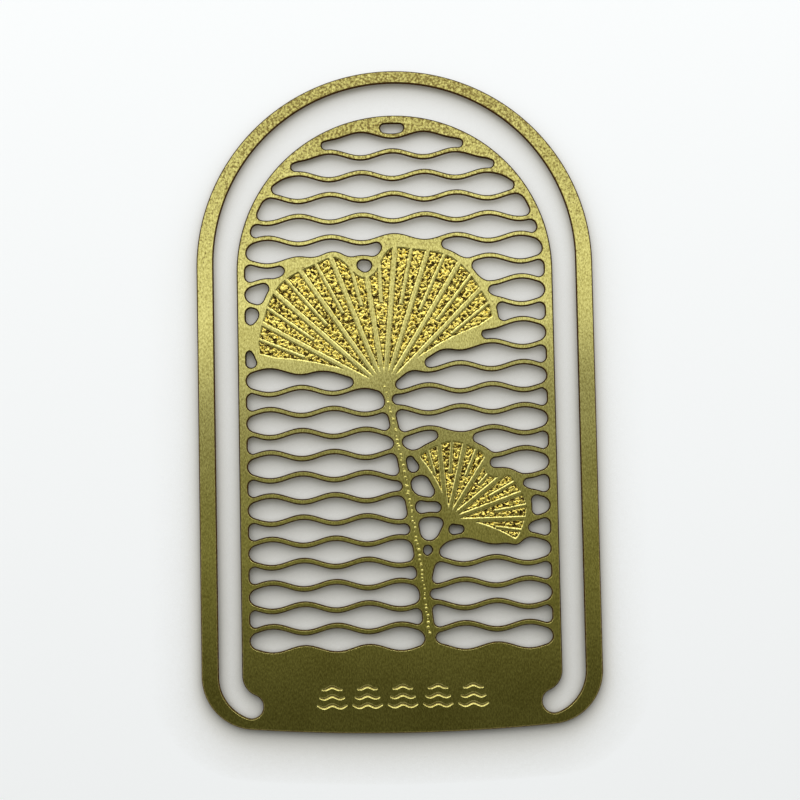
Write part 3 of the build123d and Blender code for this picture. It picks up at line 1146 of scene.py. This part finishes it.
@dataclass(frozen=True)
class BrassSheet:
    """The etched sheet without its leaf reliefs: plaque, loop band and tongue lattice."""

    foliage: Foliage
    tracer: EdgeTracer
    edge: EtchedEdge
    corner_radii: tuple[float, ...] = (0.42, 0.22)
    spare_cells: int = 10
    seam_inset: float = 0.35
    mark_count: int = 5
    mark_pitch: float = 3.95
    mark_strokes: int = 3
    stroke_pitch: float = 1.0
    stroke_length: float = 3.2
    stroke_step: float = 0.55
    mark_rise_share: float = 0.43
    mark_depth: float = 0.085
    mark_etch: float = 0.7
    mark_grid: float = 0.045
    mark_spare: float = 0.16
    groove_floor_share: float = 0.3
    groove_rim_share: float = 1.15
    bend_share: float = 0.4
    flat_cosine: float = 0.9999

    def marks(self) -> list[RippleMark]:
        """The strokes of the plaque's row of ripple marks."""
        plan = self.foliage.plan
        middle_y = self.mark_rise_share * plan.plaque_height - plan.half_height
        strokes = []
        for mark in range(self.mark_count):
            x = (mark - (self.mark_count - 1) / 2) * self.mark_pitch
            for stroke in range(self.mark_strokes):
                y = middle_y + (stroke - (self.mark_strokes - 1) / 2) * self.stroke_pitch
                strokes.append(RippleMark(x, y, self.stroke_length - stroke * self.stroke_step))
        return strokes

    def mark_points(self) -> tuple[Array, Array]:
        """Points over the engraved strokes and how far each is sunk."""
        marks = self.marks()
        half_stroke = marks[0].width / 2
        half = max(mark.length for mark in marks) / 2 + self.mark_spare + marks[0].width
        rise = marks[0].rise + half_stroke + self.mark_spare
        xs = np.arange(marks[0].x - half, marks[-1].x + half, self.mark_grid)
        ys = np.arange(marks[0].y - rise, marks[-1].y + rise, self.mark_grid)
        x, y = (axis.ravel() for axis in np.meshgrid(xs, ys))
        distance = np.minimum.reduce([mark.distance(x, y) for mark in marks])
        near = distance < half_stroke + self.mark_spare
        floor, rim = self.groove_floor_share * half_stroke, self.groove_rim_share * half_stroke
        sunk = self.mark_depth * (1 - smooth_step(floor, rim, distance))
        return np.column_stack([x, y])[near], sunk[near]

    def seam(self, leaf: FanLeaf) -> Edges:
        """The line in a leaf's plain border where its relief takes over from the sheet."""
        low, high = leaf.box(self.seam_inset)
        return self.tracer.trace(lambda x, y: self.seam_inset - leaf.depth(x, y), low, high)

    def draft(self) -> bpy.types.Mesh:
        """Builds the whole sheet as one closed mesh with holes for the leaf reliefs."""
        plan = self.foliage.plan
        spare = self.spare_cells * self.tracer.grid
        corner = np.array([plan.half_width + spare, plan.half_height + spare])
        rounded = RoundedHoles.open(self.foliage.metal, plan.outline, self.corner_radii, corner)
        edges = self.tracer.trace(rounded.depth, -corner, corner)
        draft = MeshDraft()
        sections = self.edge.rings(plan.thickness)
        room = edges.room(sections[0][0])[:, None]
        firsts = [draft.add_points(edges.points + inset * room * edges.inward, height, etch)
                  for inset, height, etch in sections]
        for upper, lower in zip(firsts, firsts[1:]):
            draft.add_wall(upper, lower, edges)
        top_rings, back_rings = [(firsts[0], edges)], [(firsts[-1], edges)]
        for leaf in (self.foliage.large, self.foliage.small):
            seam = self.seam(leaf)
            upper, lower = draft.add_seam(seam, plan.thickness)
            top_rings.append((upper, seam))
            back_rings.append((lower, seam))
        points, sunk = self.mark_points()
        free = draft.add_points(points, plan.thickness - sunk, self.mark_etch * sunk / self.mark_depth)
        draft.add_cap(top_rings, np.arange(free, draft.count), CapSide.TOP)
        draft.add_cap(back_rings, np.arange(0), CapSide.BACK)
        return draft.build("sheet_draft")

    def in_tongue(self, x: Array, y: Array) -> Array:
        """Depth into the tongue's share of the plan, which ends in the middle of the slot."""
        plan = self.foliage.plan
        return arched(x, y, (plan.loop_inner_half + plan.tongue_half) / 2, plan.tongue_arch_y)

    def cut(self, name: str, sheet: bpy.types.Mesh, above: bool, keep: Depth) -> bpy.types.Object:
        """Cuts a piece off the sheet at the flex line.

        Args:
            name: Name of the piece.
            sheet: The whole sheet.
            above: Whether the piece lies above the flex line.
            keep: Positive where the piece lies in plan.

        Returns:
            The piece, closed at the cut.
        """
        work = bmesh.new()
        work.from_mesh(sheet)
        cut = bmesh.ops.bisect_plane(
            work,
            geom=[*work.verts, *work.edges, *work.faces],
            plane_co=(0.0, self.foliage.plan.flex_y * MM, 0.0),
            plane_no=(0.0, 1.0, 0.0),
            clear_inner=above,
            clear_outer=not above,
        )
        rims = [item for item in cut["geom_cut"] if isinstance(item, bmesh.types.BMEdge)]
        bmesh.ops.holes_fill(work, edges=rims, sides=0)
        places = np.array([vertex.co for vertex in work.verts]) / MM
        kept = keep(places[:, 0], places[:, 1]) > 0.0
        strays = [vertex for vertex, wanted in zip(work.verts, kept) if not wanted]
        bmesh.ops.delete(work, geom=strays, context="VERTS")
        bmesh.ops.triangulate(work, faces=[face for face in work.faces if len(face.verts) > 4])
        for face in work.faces:
            face.smooth = True
        for edge in work.edges:
            level = {abs(face.normal.z) > self.flat_cosine for face in edge.link_faces}
            edge.smooth = len(level) == 1
        mesh = bpy.data.meshes.new(name)
        work.to_mesh(mesh)
        work.free()
        return new_object(name, mesh)

    def build(self, finish: bpy.types.Material) -> list[bpy.types.Object]:
        """Builds the three pieces of the sheet and ties the plaque to its body.

        Args:
            finish: Material of the sheet.

        Returns:
            Plaque, loop band and tongue lattice.
        """
        sheet = self.draft()
        plaque = self.cut("plaque", sheet, False, lambda x, y: np.ones(x.shape))
        loop = self.cut("loop_band", sheet, True, lambda x, y: -self.in_tongue(x, y))
        lattice = self.cut("tongue_lattice", sheet, True, self.in_tongue)
        bpy.data.meshes.remove(sheet)
        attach(plaque, Body.BASE.value)
        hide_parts("base_plaque")
        self.bend(loop, Body.LOOP)
        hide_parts(*[node for node in frame["nodes"] if node.startswith("loop_")])
        self.bend(lattice, Body.TONGUE)
        starts = ("rim_", "ripple_bar_", "stem_")
        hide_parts(*[node for node in frame["nodes"] if node.startswith(starts)])
        for piece in (plaque, loop, lattice):
            piece.data.materials.append(finish)
        return [plaque, loop, lattice]

    def bend(self, piece: bpy.types.Object, body: Body) -> None:
        """Bakes the piece's placement into its mesh."""
        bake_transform(piece)


@dataclass(frozen=True)
class LeafRelief:
    """The half-etched face of a leaf, inside the seam in its border. Sizes are in millimetres."""

    sheet: BrassSheet
    grid: float = 0.07
    relief_depth: float = 0.18
    wall_run: float = 0.14
    stipple_pitch: float = 0.32
    stipple_height: float = 0.18
    stipple_margin: float = 0.2
    stipple_detail: float = 1.0
    stipple_grit: float = 0.4
    stipple_twist: float = 0.6
    stipple_rise: Ramp = Ramp(0.36, 0.52)
    crease_angle: float = 70.0

    def draft(self, leaf: FanLeaf) -> bpy.types.Object:
        """Builds the plate of one leaf with its sunk cells, before the stipple."""
        plan = self.sheet.foliage.plan
        seam = self.sheet.seam(leaf)
        seam = Edges(seam.points[::-1], seam.starts)
        low, high = leaf.box(0.0)
        rows = np.arange(low[1], high[1], self.grid * math.sqrt(3) / 2)
        columns = np.arange(low[0], high[0], self.grid)
        x, y = np.meshgrid(columns, rows)
        x = x + (np.arange(len(rows)) % 2)[:, None] * self.grid / 2
        x, y = x.ravel(), y.ravel()
        inside = leaf.depth(x, y) > self.sheet.seam_inset + self.grid / 2
        x, y = x[inside], y[inside]
        cell = leaf.cell_depth(x, y)
        sunk = self.relief_depth * smooth_step(0.0, self.wall_run, cell)
        draft = MeshDraft()
        upper, lower = draft.add_seam(seam, plan.thickness)
        free = draft.add_points(np.column_stack([x, y]), plan.thickness - sunk, 0.0)
        draft.add_cap([(upper, seam)], np.arange(free, draft.count), CapSide.TOP)
        draft.add_cap([(lower, seam)], np.arange(0), CapSide.BACK)
        mesh = draft.build(f"{leaf.name}_relief")
        masks = {"cell": smooth_step(0.0, self.stipple_margin, cell),
                 "line": 1 - np.abs(cell / self.wall_run - 1).clip(0.0, 1.0)}
        for name, mask in masks.items():
            add_attribute(mesh, name, np.concatenate([np.zeros(free), mask]))
        return new_object(mesh.name, mesh)

    def stipple_tree(self) -> bpy.types.NodeTree:
        """Builds the geometry tree that raises worm-shaped stipple in the cells."""
        tree = new_geometry_tree("leaf_stipple", {
            "Pitch": "NodeSocketFloat", "Height": "NodeSocketFloat", "Material": "NodeSocketMaterial"})
        given = add_node(tree, "NodeGroupInput", {}).outputs
        place = add_node(tree, "GeometryNodeInputPosition", {})
        scale = add_node(tree, "ShaderNodeMath", {0: 1.0, 1: given["Pitch"]}, operation="DIVIDE")
        noise = add_node(tree, "ShaderNodeTexNoise",
                         {"Vector": place, "Scale": scale, "Detail": self.stipple_detail,
                          "Roughness": self.stipple_grit, "Distortion": self.stipple_twist})
        bump = add_node(tree, "ShaderNodeMapRange", self.stipple_rise.of(noise))
        cell, line = (add_node(tree, "GeometryNodeInputNamedAttribute", {"Name": name}, data_type="FLOAT")
                      for name in ("cell", "line"))
        raised = add_node(tree, "ShaderNodeMath", {0: bump, 1: cell}, operation="MULTIPLY")
        lift = add_node(tree, "ShaderNodeMath", {0: raised, 1: given["Height"]}, operation="MULTIPLY")
        offset = add_node(tree, "ShaderNodeCombineXYZ", {"Z": lift})
        moved = add_node(tree, "GeometryNodeSetPosition", {"Geometry": given["Geometry"], "Offset": offset})
        recess = add_node(tree, "ShaderNodeMath", {0: cell, 1: raised}, operation="SUBTRACT")
        recess = add_node(tree, "ShaderNodeMath", {0: recess, 1: line}, operation="MAXIMUM")
        stored = add_node(tree, "GeometryNodeStoreNamedAttribute",
                          {"Geometry": moved, "Name": "recess", "Value": recess},
                          data_type="FLOAT", domain="POINT")
        finish_tree(tree, stored, given["Material"])
        return tree

    def build(self, finish: bpy.types.Material) -> list[bpy.types.Object]:
        """Builds both leaf reliefs.

        Args:
            finish: Material of the relief.

        Returns:
            The two pieces.
        """
        tree = self.stipple_tree()
        values = {"Pitch": self.stipple_pitch * MM, "Height": self.stipple_height * MM, "Material": finish}
        pieces = []
        for leaf in (self.sheet.foliage.large, self.sheet.foliage.small):
            piece = self.draft(leaf)
            piece.data = run_tree(piece, tree, values)
            piece.data.shade_smooth()
            piece.data.set_sharp_from_angle(angle=math.radians(self.crease_angle))
            self.sheet.bend(piece, Body.TONGUE)
            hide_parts(leaf.name)
            pieces.append(piece)
        return pieces


@dataclass(frozen=True)
class StemBeads:
    """Row of small raised beads along the middle of the stem. Sizes are in millimetres."""

    sheet: BrassSheet
    spacing: float = 0.42
    radius: float = 0.17
    squash: float = 0.55
    least_scale: float = 0.45
    greatest_scale: float = 1.3
    wander: Triple = (0.11, 0.16, 0.0)
    subdivisions: int = 2
    top_share: float = 0.03
    foot_share: float = 1.0
    path_steps: int = 40
    seed: int = 7

    def tree(self) -> bpy.types.NodeTree:
        """Builds the geometry tree that sets beads along a path."""
        tree = new_geometry_tree("stem_beads", {
            "Spacing": "NodeSocketFloat", "Radius": "NodeSocketFloat", "Squash": "NodeSocketFloat",
            "Material": "NodeSocketMaterial"})
        given = add_node(tree, "NodeGroupInput", {}).outputs
        points = add_node(tree, "GeometryNodeCurveToPoints",
                          {"Curve": given["Geometry"], "Length": given["Spacing"]}, mode="LENGTH")
        bead = add_node(tree, "GeometryNodeMeshIcoSphere",
                        {"Radius": given["Radius"], "Subdivisions": self.subdivisions})
        size = add_node(tree, "FunctionNodeRandomValue",
                        {2: self.least_scale, 3: self.greatest_scale, "Seed": self.seed}, data_type="FLOAT")
        flat = add_node(tree, "ShaderNodeMath", {0: size, 1: given["Squash"]}, operation="MULTIPLY")
        scale = add_node(tree, "ShaderNodeCombineXYZ", {"X": size, "Y": size, "Z": flat})
        ends = [[sign * part * MM for part in self.wander] for sign in (-1, 1)]
        wander = add_node(tree, "FunctionNodeRandomValue", {0: ends[0], 1: ends[1], "Seed": self.seed + 1},
                          data_type="FLOAT_VECTOR")
        spread = add_node(tree, "GeometryNodeSetPosition", {"Geometry": points, "Offset": wander})
        row = add_node(tree, "GeometryNodeInstanceOnPoints",
                       {"Points": spread, "Instance": bead, "Scale": scale})
        finish_tree(tree, row, given["Material"])
        return tree

    def build(self, finish: bpy.types.Material) -> bpy.types.Object:
        """Builds the beads.

        Args:
            finish: Material of the beads.

        Returns:
            The row of beads.
        """
        foliage = self.sheet.foliage
        line = foliage.stem.at(np.linspace(self.top_share, self.foot_share, self.path_steps))
        line = line[line[:, 1] > foliage.plan.flex_y + self.spacing]
        curve = bpy.data.curves.new("stem_path", "CURVE")
        curve.dimensions = "3D"
        spline = curve.splines.new("POLY")
        spline.points.add(len(line) - 1)
        for point, (x, y) in zip(spline.points, line.tolist()):
            point.co = (x * MM, y * MM, foliage.plan.thickness * MM, 1.0)
        path = new_object("stem_path", curve)
        values = {"Spacing": self.spacing * MM, "Radius": self.radius * MM, "Squash": self.squash,
                  "Material": finish}
        mesh = run_tree(path, self.tree(), values)
        bpy.data.objects.remove(path)
        mesh.shade_smooth()
        beads = new_object("stem_beads", mesh)
        self.sheet.bend(beads, Body.TONGUE)
        return beads


@dataclass(frozen=True)
class SoftLight:
    """A level rectangular light that shines straight down, in millimetres and degrees.

    Its glow is how bright its surface looks, where 1 is white.
    """

    name: str
    place: Triple
    size: tuple[float, float]
    glow: float
    turn: float = 5.0

    def build(self) -> None:
        """Hangs the light over the table."""
        light = bpy.data.lights.new(self.name, "AREA")
        light.shape = "RECTANGLE"
        light.size, light.size_y = (side * MM for side in self.size)
        light.energy = self.glow * math.pi * light.size * light.size_y
        obj = new_object(self.name, light)
        obj.location = [part * MM for part in self.place]
        obj.rotation_euler.z = math.radians(self.turn)


@dataclass(frozen=True)
class Studio:
    """Pale table, two soft lights beyond the arch, a light room and the camera above.

    Sizes and places are in millimetres. The room's ramps follow a direction's Y or Z, from -1 to 1.
    """

    table: str = "#ABADAE"
    table_roughness: float = 0.85
    table_size: float = 3000.0
    table_gap: float = 0.4
    glow_tint: str = "#F5F7F8"
    glow: Ramp = Ramp(-45.0, 45.0, 0.5915, 0.6825)
    shade_tint: str = "#FAF0D6"
    shade_reach: float = 6.0
    shade_from: Triple = (0.0, 0.77, 0.64)
    shade_power: Ramp = Ramp(-25.0, 15.0, 4.2, 2.0)
    lights: tuple[SoftLight, ...] = (
        SoftLight("ceiling_panel", (0.0, 288.0, 520.0), (1000.0, 480.0), 0.62),
        SoftLight("skylight", (0.0, 430.0, 510.0), (1300.0, 260.0), 1.6),
    )
    wall: str = "#FFFFFF"
    wall_glow: Ramp = Ramp(-0.9, 0.7, 0.35, 1.0)
    ceiling: str = "#FFFEC3"
    ceiling_glow: Ramp = Ramp(-0.15, 0.05, 0.063, 0.35)
    ceiling_share: Ramp = Ramp(0.45, 0.95)
    ceiling_tint_share: Ramp = Ramp(0.05, -0.05)
    camera_place: Triple = (0.17, -8.73, 165.0)
    camera_turn: Triple = (2.96, 0.0, -1.14)
    camera_near: float = 10.0
    lens: float = 65.6

    def build(self) -> None:
        """Builds the table, the lights, the room and the camera."""
        self.build_table()
        for light in self.lights:
            light.build()
        self.build_world()
        self.build_camera()
        bpy.context.scene.view_settings.view_transform = "Standard"

    def build_table(self) -> None:
        """Lays a plain pale table just under the sheet."""
        half = self.table_size * MM / 2
        drop = -self.table_gap * MM
        mesh = bpy.data.meshes.new("table_top")
        corners = [(-half, -half, drop), (half, -half, drop), (half, half, drop), (-half, half, drop)]
        mesh.from_pydata(corners, [], [(0, 1, 2, 3)])
        mesh.materials.append(self.table_material())
        new_object("table_top", mesh)

    def table_material(self) -> bpy.types.Material:
        """Matt white board. Where it is seen it glows a little: a painted light that rises towards the arch,
        with a painted shadow that is deeper and warmer in the sheet's shade and deepest towards the plaque.
        """
        material, tree = new_material("matt_white_table")
        rays = add_node(tree, "ShaderNodeLightPath", {}).outputs
        glow = rays["Is Camera Ray"]
        for ray in ("Is Glossy Ray", "Is Transmission Ray"):
            glow = add_node(tree, "ShaderNodeMath", {0: glow, 1: rays[ray]}, operation="MAXIMUM")
        # Painted shadow: the glow is cut where the sheet hides the way towards the light, more steeply
        # towards the plaque, and tinted warm there like light thrown off the brass. Painted light: the glow
        # rises towards the arch.
        way = add_node(tree, "ShaderNodeCombineXYZ", dict(zip("XYZ", self.shade_from)))
        light = add_node(tree, "ShaderNodeAmbientOcclusion",
                         {"Distance": self.shade_reach * MM, "Normal": way}).outputs["AO"]
        place = add_node(tree, "ShaderNodeTexCoord", {}).outputs["Object"]
        along = add_node(tree, "ShaderNodeSeparateXYZ", {0: place}).outputs["Y"]
        power = add_node(tree, "ShaderNodeMapRange", self.shade_power.of(along, MM))
        light = add_node(tree, "ShaderNodeMath", {0: light, 1: power}, operation="POWER")
        tint = add_node(tree, "ShaderNodeMix",
                        {0: light, 6: linear(self.shade_tint), 7: linear(self.glow_tint)}, data_type="RGBA")
        fall = add_node(tree, "ShaderNodeMapRange", self.glow.of(along, MM))
        for factor in (light, fall):
            glow = add_node(tree, "ShaderNodeMath", {0: glow, 1: factor}, operation="MULTIPLY")
        connect(tree, tree.nodes[SHADER],
                {"Base Color": linear(self.table), "Roughness": self.table_roughness,
                 "Emission Color": tint, "Emission Strength": glow})
        return material

    def build_world(self) -> None:
        """Surrounds the table with a room that is light beyond the arch and dim towards the plaque."""
        world = bpy.data.worlds.new("dim_room")
        world.use_nodes = True
        tree = world.node_tree
        way = add_node(tree, "ShaderNodeTexCoord", {}).outputs["Generated"]
        parts = add_node(tree, "ShaderNodeSeparateXYZ", {0: way}).outputs
        walls = add_node(tree, "ShaderNodeMapRange", self.wall_glow.of(parts["Y"]))
        ceiling = add_node(tree, "ShaderNodeMapRange", self.ceiling_glow.of(parts["Y"]))
        overhead = add_node(tree, "ShaderNodeMapRange", self.ceiling_share.of(parts["Z"]))
        glow = add_node(tree, "ShaderNodeMix", {0: overhead, 2: walls, 3: ceiling})
        near = add_node(tree, "ShaderNodeMapRange", self.ceiling_tint_share.of(parts["Y"]))
        warmth = add_node(tree, "ShaderNodeMath", {0: near, 1: overhead}, operation="MULTIPLY")
        tint = add_node(tree, "ShaderNodeMix", {0: warmth, 6: linear(self.wall), 7: linear(self.ceiling)},
                        data_type="RGBA")
        connect(tree, tree.nodes["Background"], {"Strength": glow, "Color": tint})
        bpy.context.scene.world = world

    def build_camera(self) -> None:
        """Places the camera nearly straight above the sheet."""
        camera = bpy.data.cameras.new("camera_above")
        camera.lens = self.lens
        camera.clip_start = self.camera_near * MM
        obj = new_object("camera_above", camera)
        obj.location = [part * MM for part in self.camera_place]
        obj.rotation_euler = [math.radians(part) for part in self.camera_turn]
        bpy.context.scene.camera = obj


def main() -> None:
    """Builds every piece in order and reports it."""
    logging.basicConfig(level=logging.INFO, format="%(name)s: %(message)s")
    foliage = Foliage(SheetPlan.from_frame())
    sheet = BrassSheet(foliage, EdgeTracer(), EtchedEdge())
    rolled = RolledBrass()
    relief = ReliefBrass(rolled).material()
    pieces = sheet.build(rolled.material())
    pieces += LeafRelief(sheet).build(relief)
    pieces.append(StemBeads(sheet).build(relief))
    Studio().build()
    for piece in pieces:
        LOGGER.info("%s: %d faces", piece.name, len(piece.data.polygons))


if __name__ == "__main__":
    main()
